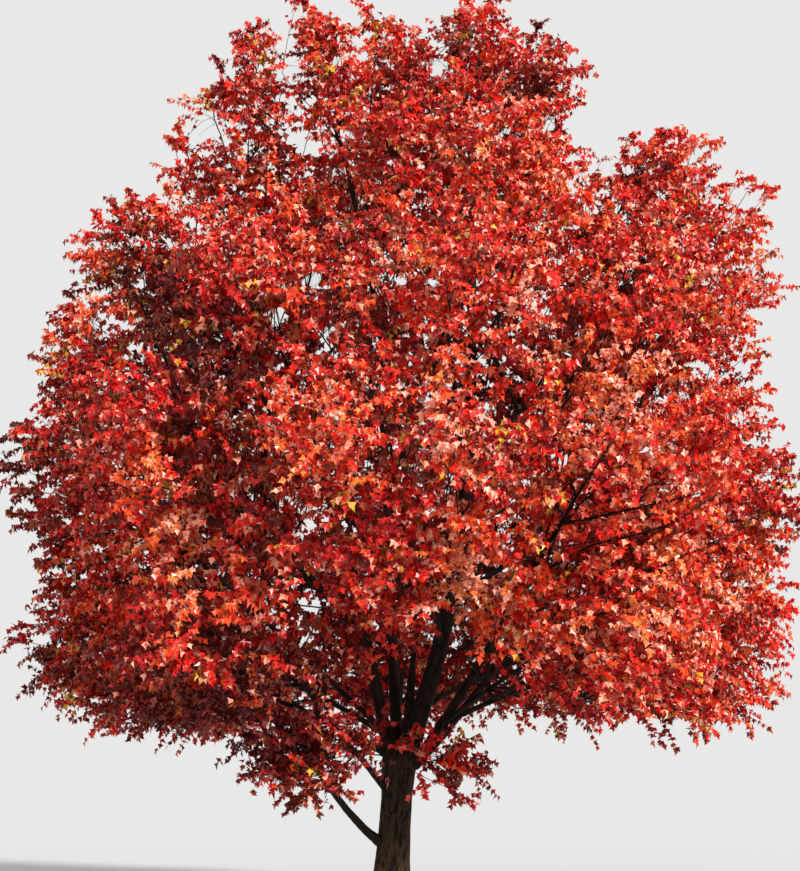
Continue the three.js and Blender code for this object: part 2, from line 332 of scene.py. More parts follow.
# %% [markdown]
# ## Reading the limbs
# Each limb solid is a faceted horn that bends. To put bark on it, and to know where new growth
# starts, its centre line and its thickness are needed. Both can be measured by slicing: a plane
# across the limb cuts a closed outline, whose middle is on the line and whose area gives the radius.
# A first pass slices square to the straight chord, and a second one square to the line just found.

# %% Slicing a limb
STATIONS = 13
END_SHARE = 0.04
SLICED_SPAN = (0.07, 0.93)


def slice_middle(points, edges, origin, normal):
    """The middle and mean radius of the outline where a plane cuts a solid."""
    side = (points - origin) @ normal
    a, b = side[edges[:, 0]], side[edges[:, 1]]
    cut = a * b < 0
    share = (a[cut] / (a[cut] - b[cut]))[:, None]
    outline = points[edges[cut, 0]] * (1 - share) + points[edges[cut, 1]] * share
    middle = outline.mean(0)
    across = unit(np.cross(normal, np.eye(3)[np.abs(normal).argmin()]))
    spokes = outline - middle
    x, y = spokes @ across, spokes @ np.cross(normal, across)
    order = np.argsort(np.arctan2(y, x))
    x, y = x[order], y[order]
    next_x, next_y = np.roll(x, -1), np.roll(y, -1)
    swept = x * next_y - next_x * y
    area = 0.5 * abs(swept.sum())
    shift_x = ((x + next_x) * swept).sum() / (6 * area)
    shift_y = ((y + next_y) * swept).sum() / (6 * area)
    sign = -1 if swept.sum() < 0 else 1
    middle = middle + across * shift_x * sign + np.cross(normal, across) * shift_y * sign
    return middle, math.sqrt(area / math.pi)


def solid_edges(corners):
    """Every edge of a triangle mesh, once."""
    pairs = np.vstack([corners[:, [0, 1]], corners[:, [1, 2]], corners[:, [2, 0]]])
    return np.unique(np.sort(pairs, axis=1), axis=0)


def carried_on(row, inner_row, end):
    """The row beyond a line's last one that reaches as far as the end of the solid."""
    share = np.linalg.norm(end - row[:3]) / np.linalg.norm(inner_row[:3] - row[:3])
    return row + (row - inner_row) * share


def centre_line(name, root):
    """Points (x, y, z, radius) along a limb from its foot, which is the end nearer to root."""
    points, corners = mesh_arrays(name)
    edges = solid_edges(corners)
    middle = points.mean(0)
    chord = np.linalg.svd(points - middle, full_matrices=False)[2][0]
    place = (points - middle) @ chord
    low, high = place.min(), place.max()
    near = points[place < low + END_SHARE * (high - low)].mean(0)
    far = points[place > high - END_SHARE * (high - low)].mean(0)
    if np.linalg.norm(near - root) > np.linalg.norm(far - root):
        near, far = far, near
    steps = np.linspace(*SLICED_SPAN, STATIONS)[:, None]
    origins = near * (1 - steps) + far * steps
    normals = np.repeat(unit(far - near)[None], STATIONS, 0)
    for _ in range(3):
        found = [slice_middle(points, edges, o, n) for o, n in zip(origins, normals)]
        origins = np.array([f[0] for f in found])
        normals = unit(np.gradient(origins, axis=0))
    radii = np.array([f[1] for f in found])
    rows = np.column_stack([origins, radii])
    return np.vstack([carried_on(rows[0], rows[1], near), rows, carried_on(rows[-1], rows[-2], far)])


trunk_low, trunk_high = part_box("trunk")
fork = np.array([0.0, 0.0, trunk_high.z])
limb_lines = {name: centre_line(name, fork) for name in limb_names}
for name, line in limb_lines.items():
    foot_mm, tip_mm = line[[0, -1], 3] * 1000
    print(f"{name}: radius {foot_mm:.0f} mm at the foot, {tip_mm:.0f} mm at the tip")

# %% [markdown]
# ## Furrows in the bark
# A furrow is where two plates have pulled apart, so it runs along the limb and is far longer than
# it is wide. Noise stretched along the grain has zero crossings just like that: a thin band around
# them makes the furrows, and the rest is plate. The place on the bark is measured round the limb
# and along it, so that the grain follows every bend.

# %% The relief
PLATE_WIDTH = 0.045
PLATE_LENGTH = 0.26
FURROW_WIDTH = 0.16


def bark_relief(place):
    """Furrow from 0 to 1, and a fine roughness from -1 to 1, at each place on the bark."""
    furrow = np.empty(len(place))
    rough = np.empty(len(place))
    stretched = place / np.array([PLATE_WIDTH, PLATE_WIDTH, PLATE_LENGTH])
    for i, (x, y, z) in enumerate(stretched.tolist()):
        wander = noise.noise((x * 0.4 + 7.0, y * 0.4, z * 1.7)) * 0.5
        wave = noise.noise((x + wander, y - wander, z + wander))
        furrow[i] = max(0.0, 1.0 - abs(wave) / FURROW_WIDTH)
        rough[i] = noise.noise((x * 2.3, y * 2.3, z * 4.0 + 11.0))
    return furrow, rough


def add_bark_data(mesh, place, furrow):
    """Leaves the grain's place and the furrows on the mesh for the bark materials."""
    made = mesh.attributes.new("bark_place", "FLOAT_VECTOR", "POINT")
    made.data.foreach_set("vector", np.asarray(place, np.float32).ravel())
    made = mesh.attributes.new("bark_furrow", "FLOAT", "POINT")
    made.data.foreach_set("value", np.asarray(furrow, np.float32))


# %% [markdown]
# ## The trunk
# The trunk flares into root buttresses at the ground and swells where the limbs leave it. The
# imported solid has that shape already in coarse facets. Rays from the heart of the trunk out to
# the solid measure it all round, a little smoothing takes the facets away, and the furrows are cut
# into the result. It stays flat on the ground.

# %% Bark over the trunk
TRUNK_SIDES = 84
TRUNK_RINGS = 92
TRUNK_FURROW = 0.011
TRUNK_ROUGHNESS = 0.003
# How far round the trunk each measure is smoothed, as steps round and weights.
SMOOTHING = ((-2, 1), (-1, 2), (0, 3), (1, 2), (2, 1))


def trunk_skin():
    """The trunk's bark as points, walls and caps."""
    points, corners = mesh_arrays("trunk")
    solid = BVHTree.FromPolygons(points.tolist(), corners.tolist())
    edges = solid_edges(corners)
    heights = np.linspace(0.0, trunk_high.z - 0.004, TRUNK_RINGS)
    probes = np.clip(heights, 0.01, trunk_high.z - 0.03)
    hearts = np.array([slice_middle(points, edges, UP * z, UP)[0] for z in probes])
    turn = np.arange(TRUNK_SIDES) * 2 * math.pi / TRUNK_SIDES
    reach = np.empty((TRUNK_RINGS, TRUNK_SIDES))
    for row, heart in enumerate(hearts):
        for column, angle in enumerate(turn):
            ray = Vector((math.cos(angle), math.sin(angle), 0.0))
            reach[row, column] = solid.ray_cast(Vector(heart), ray)[3]
    soft = sum(np.roll(reach, steps, 1) * weight for steps, weight in SMOOTHING)
    soft /= sum(weight for _, weight in SMOOTHING)
    wide = reach.mean()
    place = np.empty((TRUNK_RINGS, TRUNK_SIDES, 3))
    place[..., 0] = np.cos(turn) * wide
    place[..., 1] = np.sin(turn) * wide
    place[..., 2] = heights[:, None]
    furrow, rough = bark_relief(place.reshape(-1, 3))
    soft -= TRUNK_FURROW * furrow.reshape(soft.shape) - TRUNK_ROUGHNESS * rough.reshape(soft.shape)
    skin = np.empty_like(place)
    skin[..., 0] = hearts[:, None, 0] + np.cos(turn) * soft
    skin[..., 1] = hearts[:, None, 1] + np.sin(turn) * soft
    skin[..., 2] = heights[:, None]
    return skin, place, furrow


def ring_walls(ring_count, sides):
    """Four-cornered faces between the rings of one skin."""
    ring = np.arange(ring_count - 1)[:, None] * sides
    side = np.arange(sides)[None, :]
    after = (side + 1) % sides
    corners = [ring + side, ring + after, ring + sides + after, ring + sides + side]
    return np.stack(corners, -1).reshape(-1, 4)


skin, place, furrow = trunk_skin()
last_ring = (TRUNK_RINGS - 1) * TRUNK_SIDES
caps = [np.arange(TRUNK_SIDES)[None, ::-1], np.arange(TRUNK_SIDES)[None, :] + last_ring]
trunk = make_piece(
    "trunk_with_bark",
    skin.reshape(-1, 3),
    [ring_walls(TRUNK_RINGS, TRUNK_SIDES), *caps],
    trunk_bark,
    True,
)
add_bark_data(trunk.data, place.reshape(-1, 3), furrow)
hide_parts("trunk")

# %% [markdown]
# ## The limbs
# Each limb gets a skin of rings along its centre line. At its foot the wood swells into a collar
# and then narrows inside its parent, as a real branch does, so no joint shows. The furrows get
# shallower as the limb gets thinner, because young bark hasn't cracked yet.

# %% Bark over the limbs
RING_WIDTH = 0.019
COLLAR = 0.30
FURROW_SHARE = 0.075


def limb_skin(line):
    """Points, faces, place and furrow for one limb's bark."""
    foot_radius = line[0, 3]
    back = unit(line[0, :3] - line[1, :3]) * foot_radius * 1.3
    started = np.vstack([[*(line[0, :3] + back), line[0, 3]], line])
    length = np.linalg.norm(np.diff(started[:, :3], axis=0), axis=1).sum()
    sides = int(np.clip(round(2 * math.pi * foot_radius / RING_WIDTH), 10, 44))
    width = 2 * math.pi * line[:, 3].mean() / sides
    count = int(length / (width * 1.9)) + 2
    rows, reach = smooth_line(started, count)
    sunk = np.clip(reach / (foot_radius * 1.6), 0, 1)
    collar = 1 + COLLAR * np.exp(-((reach / (foot_radius * 2.6)) ** 2))
    radius = rows[:, 3] * collar * (0.45 + 0.55 * sunk * sunk * (3 - 2 * sunk))
    middles = rows[:, :3]
    along = unit(np.gradient(middles, axis=0))
    reference = np.eye(3)[np.abs(along.mean(0)).argmin()]
    across = unit(np.cross(along, reference))
    upright = np.cross(along, across)
    turn = np.arange(sides) * 2 * math.pi / sides
    place = np.empty((count, sides, 3))
    place[..., 0] = np.cos(turn) * radius[:, None] + middles[0, 0] * 9
    place[..., 1] = np.sin(turn) * radius[:, None] + middles[0, 1] * 9
    place[..., 2] = reach[:, None] + middles[0, 2] * 9
    furrow, rough = bark_relief(place.reshape(-1, 3))
    depth = np.minimum(radius * FURROW_SHARE, TRUNK_FURROW)[:, None]
    bulge = radius[:, None] - depth * (furrow.reshape(count, sides) - 0.3 * rough.reshape(count, sides))
    spokes = across[:, None] * np.cos(turn)[None, :, None] + upright[:, None] * np.sin(turn)[None, :, None]
    points = middles[:, None] + spokes * bulge[..., None]
    end = np.arange(sides)[None, :] + (count - 1) * sides
    return points.reshape(-1, 3), ring_walls(count, sides), end, place.reshape(-1, 3), furrow


def bark_piece(name, nodes):
    """One piece of bark over several limbs."""
    points, faces, places, furrows, first = [], [], [], [], 0
    for node in nodes:
        own_points, walls, end, own_place, own_furrow = limb_skin(limb_lines[node])
        points.append(own_points)
        faces += [walls + first, end + first]
        places.append(own_place)
        furrows.append(own_furrow)
        first += len(own_points)
    piece = make_piece(name, np.vstack(points), faces, limb_bark, True)
    add_bark_data(piece.data, np.vstack(places), np.concatenate(furrows))
    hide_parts(*nodes)
    return piece


bark_piece("great_limb_with_bark", ["great_limb"])
bark_piece("stems_with_bark", [name for name in limb_names if name.startswith("stem_")])
bark_piece("boughs_with_bark", [name for name in limb_names if name.startswith("bough_")])

# %% [markdown]
# ## The crown's outer skin
# A maple carries nearly all its leaves in the outer metre of its crown, where the light is. So the
# first thing to find is that outer skin: points spread over all the masses, without those on the
# flat walls where two masses meet. A point is on such a wall if a small step outward from it lands
# inside another mass.

# %% Points on the outer skin
SKIN_POINTS = 20000
WALL_STEP = 0.14
LOOKS = 40
LOOK_REACH = 6.0
LEAST_SLANT = 0.15

mass_trees = {}
mass_boxes = {}
mass_meshes = {}
for name in mass_names:
    points, corners = mesh_arrays(name)
    mass_meshes[name] = (points, corners)
    mass_trees[name] = BVHTree.FromPolygons(points.tolist(), corners.tolist())
    mass_boxes[name] = (points.min(0), points.max(0))


def mass_at(point, skip=None):
    """The name of the mass that holds this point, or None."""
    for name, tree in mass_trees.items():
        low, high = mass_boxes[name]
        if name == skip or (point < low).any() or (point > high).any():
            continue
        spot, normal, _, _ = tree.find_nearest(Vector(point))
        if (Vector(point) - spot).dot(normal) < 0:
            return name
    return None


def outer_skin(count):
    """Points on the crown's outside with the directions that they face."""
    owners, triangles = [], []
    for name in mass_names:
        points, corners = mass_meshes[name]
        triangles.append(points[corners])
        owners += [name] * len(corners)
    triangles = np.concatenate(triangles)
    facing = np.cross(triangles[:, 1] - triangles[:, 0], triangles[:, 2] - triangles[:, 0])
    area = np.linalg.norm(facing, axis=1)
    chosen = chance.choice(len(triangles), count, p=area / area.sum())
    u, v = chance.random(count), chance.random(count)
    flip = u + v > 1
    u[flip], v[flip] = 1 - u[flip], 1 - v[flip]
    a, b, c = (triangles[chosen, k] for k in range(3))
    spots = a + (b - a) * u[:, None] + (c - a) * v[:, None]
    normals = unit(facing[chosen])
    outside = [
        mass_at(spot + normal * WALL_STEP, skip=owners[k]) is None
        for spot, normal, k in zip(spots, normals, chosen)
    ]
    outside = np.array(outside)
    skin_area = area.sum() / 2 * outside.mean()
    return spots[outside], normals[outside], skin_area


def whole_crown():
    """All the masses as one thing that rays can hit."""
    points = np.vstack([mass_meshes[name][0] for name in mass_names])
    first = np.cumsum([0] + [len(mass_meshes[name][0]) for name in mass_names[:-1]])
    corners = np.vstack([mass_meshes[name][1] + k for name, k in zip(mass_names, first)])
    return BVHTree.FromPolygons(points.tolist(), corners.tolist())


crown = whole_crown()


def openness(spots, normals):
    """How much open sky each point on the skin sees, from 0 to 1."""
    spiral = (np.arange(LOOKS) + 0.5) / LOOKS
    tilt, turn = np.arccos(1 - 2 * spiral), np.arange(LOOKS) * math.pi * (3 - math.sqrt(5))
    looks = np.stack([np.cos(turn) * np.sin(tilt), np.sin(turn) * np.sin(tilt), np.cos(tilt)], -1)
    seen = np.zeros(len(spots))
    for index, (spot, normal) in enumerate(zip(spots, normals)):
        toward = looks @ normal
        start = Vector(spot + normal * WALL_STEP)
        sky, total = 0.0, 0.0
        for k in np.flatnonzero(toward > LEAST_SLANT):
            total += toward[k]
            if crown.ray_cast(start, Vector(looks[k]), LOOK_REACH)[0] is None:
                sky += toward[k]
        seen[index] = sky / total
    return seen


skin_spots, skin_normals, skin_area = outer_skin(SKIN_POINTS)
skin_open = openness(skin_spots, skin_normals)
print("open share of the skin", round(float((skin_open > 0.5).mean()), 2))
skin_tree = KDTree(len(skin_spots))
for index, spot in enumerate(skin_spots):
    skin_tree.insert(spot, index)
skin_tree.balance()
print(len(skin_spots), "points on an outer skin of", round(skin_area), "square metres")

# %% [markdown]
# ## The camera
# The tree is seen from eye height, twenty metres off, looking up a little at the middle of the
# crown. The camera is set here because the gaps in the crown, where sky shows, lie on its lines of
# sight.

# %% Camera
EYE = np.array([0.13, -20.0, 1.6])
AIM = np.array([0.13, 0.0, 5.6])
FILM = 36.0
LENS = 69.7

camera_data = bpy.data.cameras.new("eye_level_camera")
camera_data.sensor_fit = "VERTICAL"
camera_data.sensor_height = FILM
camera_data.lens = LENS
camera_data.clip_end = 400
camera = bpy.data.objects.new("eye_level_camera", camera_data)
camera.location = EYE
camera.rotation_euler = Vector(AIM - EYE).to_track_quat("-Z", "Y").to_euler()
bpy.context.scene.collection.objects.link(camera)
bpy.context.scene.camera = camera

# %% [markdown]
# ## Windows to the sky
# Here and there the crown is open from front to back, and sky shows between the boughs. Each window
# is a slim tunnel along the line of sight, named for where it is, with its place in the tree's own
# upright plane and its radius in metres. Leaves are left out of it, and twigs still cross it.

# %% Sky windows: x, z and radius
SKY_WINDOWS = {
    "left_peak_upper": (-1.22, 10.35, 0.13),
    "left_peak_lower": (-0.68, 10.40, 0.09),
    "under_right_peak": (0.62, 10.36, 0.15),
    "beside_right_peak": (2.02, 9.62, 0.12),
    "crest_cleft": (2.72, 9.00, 0.15),
    "left_edge": (-2.28, 9.52, 0.24),
    "left_heart_upper": (-0.95, 7.55, 0.15),
    "left_heart": (-1.35, 7.10, 0.14),
    "left_heart_lower": (-0.80, 6.85, 0.12),
}


def seen_at(points):
    """Where each point is seen from the eye, as x and z in the tree's upright plane."""
    reach = (AIM[1] - EYE[1]) / (points[:, 1] - EYE[1])
    return (EYE + (points - EYE) * reach[:, None])[:, [0, 2]]


def from_windows(points):
    """How far each point is from the nearest window's line of sight, in radii of that window."""
    seen = seen_at(points)
    nearest = np.full(len(points), 99.0)
    for x, z, radius in SKY_WINDOWS.values():
        nearest = np.minimum(nearest, np.hypot(seen[:, 0] - x, seen[:, 1] - z) / radius)
    return nearest


# %% [markdown]
# ## Tongues and hollows
# The front of the crown isn't even. Long tongues of leaves stand out into the sun, and hollows
# between them lie back in the shade. Each one is a named stroke, given by its two ends and half its
# breadth. The same strokes move the shoots in or out and, further on, make their leaves brighter or
# darker: painted light on the tongues and painted shade in the hollows. They are placed for the
# front view, not grown, and the back has none.

# %% Named tongues and hollows
# x and z of both ends in the tree's upright plane, half the breadth, and the shift: above 0 it moves
# the shoots out and paints light into their tints, below 0 it moves them in and paints shade.
RELIEF_AND_PAINTED_LIGHT_STROKES = {
    "left_tongue": (-3.1, 5.2, -2.3, 4.0, 0.34, 0.46),
    "low_left_tongue": (-2.6, 3.0, -1.9, 2.4, 0.32, 0.30),
    "left_rim": (-3.7, 7.4, -3.5, 6.7, 0.25, 0.30),
    "sunny_tongue": (0.7, 6.4, 0.85, 3.8, 0.34, 0.50),
    "high_tongue": (0.2, 8.7, 0.5, 6.9, 0.30, 0.14),
    "middle_tongue": (-1.25, 6.3, -0.7, 5.4, 0.35, 0.12),
    "right_crown": (1.4, 7.2, 2.6, 6.2, 0.60, 0.30),
    "right_flank": (2.4, 4.9, 4.0, 4.1, 0.60, 0.18),
    "over_right_fork": (1.2, 3.9, 2.2, 3.2, 0.45, 0.28),
    "low_right": (3.1, 3.4, 4.1, 2.4, 0.40, 0.12),
    "left_shoulder": (-3.2, 8.2, -2.3, 6.7, 0.60, -0.28),
    "left_hollow": (-2.3, 6.2, -1.7, 5.0, 0.50, -0.32),
    "heart_hollow": (-1.2, 5.0, -0.7, 3.6, 0.50, -0.10),
    "centre_seam": (0.1, 5.8, 0.2, 4.9, 0.22, -0.30),
    "low_left": (-3.9, 2.8, -2.2, 2.2, 0.50, -0.30),
    "low_centre": (-2.0, 2.6, -0.6, 1.8, 0.70, -0.44),
    "far_left_rim": (-4.5, 5.6, -4.2, 4.3, 0.40, -0.12),
    "crest": (-1.5, 9.9, 1.8, 9.8, 1.00, -0.08),
    "right_peak": (3.1, 9.2, 3.8, 8.6, 0.35, -0.14),
}


def relief_and_painted_light(points):
    """The sum of the strokes at each point, fading with distance, on the front of the crown only."""
    seen = seen_at(points)
    total = np.zeros(len(points))
    for *ends, breadth, shift in RELIEF_AND_PAINTED_LIGHT_STROKES.values():
        top, foot = np.array(ends[:2]), np.array(ends[2:])
        along = np.clip((seen - top) @ (foot - top) / ((foot - top) ** 2).sum(), 0, 1)
        away = np.linalg.norm(seen - top - along[:, None] * (foot - top), axis=1) / breadth
        total += shift * np.exp(-(away**2))
    return total * (points[:, 1] < 0.5)


print(len(RELIEF_AND_PAINTED_LIGHT_STROKES), "tongues and hollows")

# %% [markdown]
# ## Where the leafy shoots end
# The crown is made of leafy shoots about a metre long that point outward and up, each with its own
# sprays of leaves. Their tips are spread over the outer skin by throwing darts: a tip is kept only
# where no other is near. More shoots end deeper in, so that the crown has a dark heart and no holes.

# %% Shoot tips
TIP_SPACING = 0.335
SHADE_SPACING = 0.62
BACKING_SPACING = 0.40
BACKING_HEIGHT = 5.5
CREST_HEIGHT = 8.8
CREST_CLOSENESS = 0.88
FRONT_CLOSENESS = (1.02, 0.08)
SHADE_BELOW = 0.62
SHADE_FADE = 0.4
DARTS = 9000
INNER_SPACING = 0.47
INNER_DEPTH = (0.45, 1.9)
INSET = (0.12, 0.36)
RELIEF = (-0.40, 0.16)


def spread_out(spots, spacing):
    """Indices of spots that keep their distance from each other, first come first served."""
    kept = np.empty((len(spots), 3))
    indices = []
    for index, spot in enumerate(spots):
        count = len(indices)
        gap = spacing[index]
        if count and (((kept[:count] - spot) ** 2).sum(1) < gap * gap).any():
            continue
        kept[count] = spot
        indices.append(index)
    return np.array(indices)


front = np.clip(-skin_normals[:, 1], 0, 1)
shade = np.clip((SHADE_BELOW - skin_open) / SHADE_FADE, 0, 1)
spacing = TIP_SPACING + (SHADE_SPACING - TIP_SPACING) * shade
spacing = spacing * (FRONT_CLOSENESS[0] - FRONT_CLOSENESS[1] * front)
spacing[skin_spots[:, 2] > CREST_HEIGHT] *= CREST_CLOSENESS
behind_fork = (shade > 0.5) & (skin_normals[:, 1] < -0.15) & (skin_spots[:, 2] < BACKING_HEIGHT)
spacing[behind_fork] = BACKING_SPACING
outer = spread_out(skin_spots, spacing)
print("of the shoots,", int((shade[outer] < 0.5).sum()), "are in the open")
outer_tips = skin_spots[outer] - skin_normals[outer] * chance.uniform(*INSET, len(outer))[:, None]
outer_facing = skin_normals[outer]
pushed = np.clip(relief_and_painted_light(outer_tips), *RELIEF) * np.clip(-outer_facing[:, 1], 0, 1)
outer_tips = outer_tips + outer_facing * pushed[:, None]

crown_low = np.min([low for low, _ in mass_boxes.values()], axis=0)
crown_high = np.max([high for _, high in mass_boxes.values()], axis=0)
darts = chance.uniform(crown_low, crown_high, (DARTS, 3))
inner_tips, inner_facing = [], []
for dart in darts:
    spot, index, depth = skin_tree.find(dart)
    if INNER_DEPTH[0] < depth < INNER_DEPTH[1] and mass_at(dart):
        inner_tips.append(dart)
        inner_facing.append(skin_normals[index])
inner_tips, inner_facing = np.array(inner_tips), np.array(inner_facing)
inner = spread_out(inner_tips, np.full(len(inner_tips), INNER_SPACING))
inner_tips, inner_facing = inner_tips[inner], inner_facing[inner]
print(len(outer_tips), "shoots on the skin and", len(inner_tips), "inside")

# %% [markdown]
# The masses are parted by narrow clefts, but real tiers of leaves reach across to each other. A
# dart that lands in the air between two masses, close to both, becomes a shoot as well. A few named
# outgrowths do the same where single boughs reach a little beyond their mass.

# %% Shoots in the clefts and on the outgrowths
CLEFT_REACH = 0.6
CLEFT_GAP = 1.25
CLEFT_SPACING = 0.45
OUTGROWTH_STRETCH = (1.0, 1.8, 1.0)
# Where boughs outgrow their mass: x, y, z, radius, and the number of shoots.
OUTGROWTHS = {
    "left_notch": (-3.65, 0.0, 3.95, 0.35, 8),
    "left_low_edge": (-4.05, 0.0, 3.15, 0.30, 6),
    "left_rim": (-3.75, 0.0, 7.00, 0.30, 5),
    "left_tier": (-3.2, -0.8, 3.90, 0.45, 8),
    "left_tier_low": (-3.4, 0.3, 3.30, 0.40, 7),
    "left_tier_inner": (-2.4, -1.2, 3.30, 0.40, 7),
    "left_shoulder_edge": (-3.85, 0.0, 5.90, 0.30, 5),
    "back_left_tier": (-3.3, 1.4, 3.55, 0.55, 10),
    "back_left_tier_low": (-2.9, 1.1, 2.95, 0.45, 8),
    "back_left_tier_edge": (-3.5, 0.9, 3.60, 0.45, 7),
    "back_tier": (-1.7, 3.2, 3.05, 0.45, 8),
    "left_shoulder": (-2.45, 0.0, 9.15, 0.25, 5),
    "right_notch": (4.25, 0.0, 3.90, 0.35, 8),
    "right_top": (4.20, 0.0, 8.40, 0.40, 10),
    "right_edge": (4.20, 0.0, 6.20, 0.30, 6),
    "top_left": (-1.10, 0.0, 10.95, 0.20, 5),
    "top_left_inner": (-0.15, 0.0, 10.90, 0.16, 4),
    "top_middle": (0.25, 0.0, 10.55, 0.22, 6),
    "top_right": (1.45, 0.0, 10.50, 0.22, 6),
    "right_tier": (2.55, -2.6, 3.95, 0.40, 7),
    "right_tier_end": (3.25, -2.3, 4.15, 0.35, 6),
    "curtain_left": (-0.45, -1.6, 3.30, 0.38, 9),
    "curtain_middle": (0.15, -1.7, 3.50, 0.38, 9),
    "curtain_right": (1.25, -1.6, 3.35, 0.38, 8),
    "curtain_far_right": (1.90, -1.6, 3.10, 0.32, 6),
}


def gap_across(spot, toward):
    """The free distance between the masses on two sides of a spot."""
    total = 0.0
    for sign in (1, -1):
        hit = crown.ray_cast(Vector(spot), Vector(toward * sign), CLEFT_GAP)
        total += hit[3] if hit[0] is not None else CLEFT_GAP
    return total


CROWN_HEART = (0.0, 0.0, 4.5)

cleft_tips = []
for dart in darts:
    if skin_tree.find(dart)[2] > CLEFT_REACH or mass_at(dart):
        continue
    radial = unit([dart[0], dart[1], 0.0])
    if min(gap_across(dart, UP), gap_across(dart, np.cross(radial, UP))) < CLEFT_GAP:
        cleft_tips.append(dart)
cleft_tips = np.array(cleft_tips)
cleft_tips = cleft_tips[spread_out(cleft_tips, np.full(len(cleft_tips), CLEFT_SPACING))]
grown_out = []
for *place, radius, number in OUTGROWTHS.values():
    reach = unit(chance.normal(0, 1, (number, 3))) * radius * chance.random((number, 1)) ** 0.4
    grown_out.append(np.array(place) + reach * OUTGROWTH_STRETCH)
added_tips = np.vstack([cleft_tips, *grown_out])
added_facing = unit(added_tips - CROWN_HEART)
tips = np.vstack([outer_tips, added_tips, inner_tips])
facings = np.vstack([outer_facing, added_facing, inner_facing])
is_outer = np.zeros(len(tips), bool)
is_outer[: len(outer_tips)] = shade[outer] < 0.5
is_outer[len(outer_tips) : len(outer_tips) + len(added_tips)] = True
print(len(cleft_tips), "shoots in the clefts,", len(added_tips) - len(cleft_tips), "on the outgrowths")

# %% [markdown]
# ## Growing the boughs
# Each shoot has to be joined to the tree. A branching rule does it: a new bough leaves the existing
# wood where the way to its tip is shortest, counting a part of the way back to the fork as well, and
# where it need not turn sharply. Nearer shoots are joined first, so the first boughs become the
# stout ones that later boughs leave from. This is how a tree spends as little wood as it can.

# %% Points of wood
FIRST_BRANCH = 0.34
LIMB_STEP = 0.2
MOST_NODES = 60000
node_place = np.zeros((MOST_NODES, 3))
node_heading = np.zeros((MOST_NODES, 3))
node_way = np.zeros(MOST_NODES)
node_parent = np.full(MOST_NODES, -1)
node_radius = np.zeros(MOST_NODES)
least_radius = np.zeros(MOST_NODES)
node_total = 0


def add_node(place, heading, way, parent, radius=0.0):
    """One more point of wood that later growth can leave from."""
    global node_total
    index = node_total
    node_place[index], node_heading[index] = place, heading
    node_way[index], node_parent[index], node_radius[index] = way, parent, radius
    node_total += 1
    return index


limb_ends = []
for name in limb_names:
    line = limb_lines[name]
    length = np.linalg.norm(np.diff(line[:, :3], axis=0), axis=1).sum()
    rows, reach = smooth_line(line, int(length / LIMB_STEP) + 2)
    headings = unit(np.gradient(rows[:, :3], axis=0))
    way_to_foot = np.linalg.norm(line[0, :3] - fork)
    for k in range(len(rows)):
        if reach[k] > FIRST_BRANCH * reach[-1]:
            last = add_node(rows[k, :3], headings[k], way_to_foot + reach[k], -1, rows[k, 3])
    limb_ends.append(last)
limb_nodes = node_total
print(limb_nodes, "points on the limbs that growth can leave from")

# %% Boughs that show
# Slim boughs that show on the sunny side, where the leaves hang below them: radius at the foot, and
# the places that each one passes through.
FRONT_BOUGHS = {
    "fan_upper": (0.017, (1.88, -1.5, 4.25), (2.05, -1.9, 4.55), (2.35, -2.3, 5.0)),
    "fan_middle": (0.015, (1.95, -1.6, 4.3), (2.5, -2.1, 4.35), (3.3, -2.4, 4.5)),
    "fan_lower": (0.016, (1.75, -1.7, 3.8), (2.2, -2.0, 4.0), (2.9, -2.3, 4.15), (3.5, -2.3, 4.5)),
    "fan_lowest": (0.014, (2.75, -1.8, 3.75), (3.2, -2.0, 3.9), (3.5, -2.2, 4.0), (4.1, -1.9, 4.4)),
}
FRONT_TAPER = 0.6

for name, (thick, *places) in FRONT_BOUGHS.items():
    toward = np.array(places[0])
    parent = int(np.linalg.norm(node_place[:node_total] - toward, axis=1).argmin())
    ways = np.vstack([node_place[parent], places])
    line, reach = smooth_line(np.column_stack([ways, np.zeros(len(ways))]), 4 * len(ways))
    for k in range(1, len(line)):
        step = line[k, :3] - line[k - 1, :3]
        parent = add_node(line[k, :3], unit(step), node_way[parent] + np.linalg.norm(step), parent)
        least_radius[parent] = thick * (1 - FRONT_TAPER * reach[k] / reach[-1])
front_boughs = np.arange(limb_nodes, node_total)
print(len(front_boughs), "points on the boughs that show")

# %% Which way each shoot points
SHOOT_LENGTH = (0.55, 0.95)
OUTWARD_SHARE = 0.62
UPWARD_LEAN = 0.10
HEADING_CHANCE = 0.22
LOWEST_HEADING = -0.05

outward = unit(tips - fork)
headings = OUTWARD_SHARE * outward + (1 - OUTWARD_SHARE) * facings
headings = headings + chance.normal(0, HEADING_CHANCE, tips.shape) + UP * UPWARD_LEAN
headings[:, 2] = np.maximum(headings[:, 2], LOWEST_HEADING)
headings = unit(headings)
lengths = chance.uniform(*SHOOT_LENGTH, len(tips))
bases = tips - headings * lengths[:, None]
print("shoots are", round(float(lengths.mean()), 2), "metres long on average")

# %% The branching rule
WAY_BACK = 0.42
TURN_COST = 0.55
STEP = 0.26
SWING = 0.6
LEAST_AGREEMENT = 0.3
WANDER = 0.022
BEND = 0.05


def flowing_curve(start, leave, stop, arrive, count):
    """Points from start to stop on a curve that leaves and arrives in given directions."""
    t = (np.arange(1, count + 1) / count)[:, None]
    return (
        (2 * t**3 - 3 * t**2 + 1) * start
        + (t**3 - 2 * t**2 + t) * leave
        + (-2 * t**3 + 3 * t**2) * stop
        + (t**3 - t**2) * arrive
    )


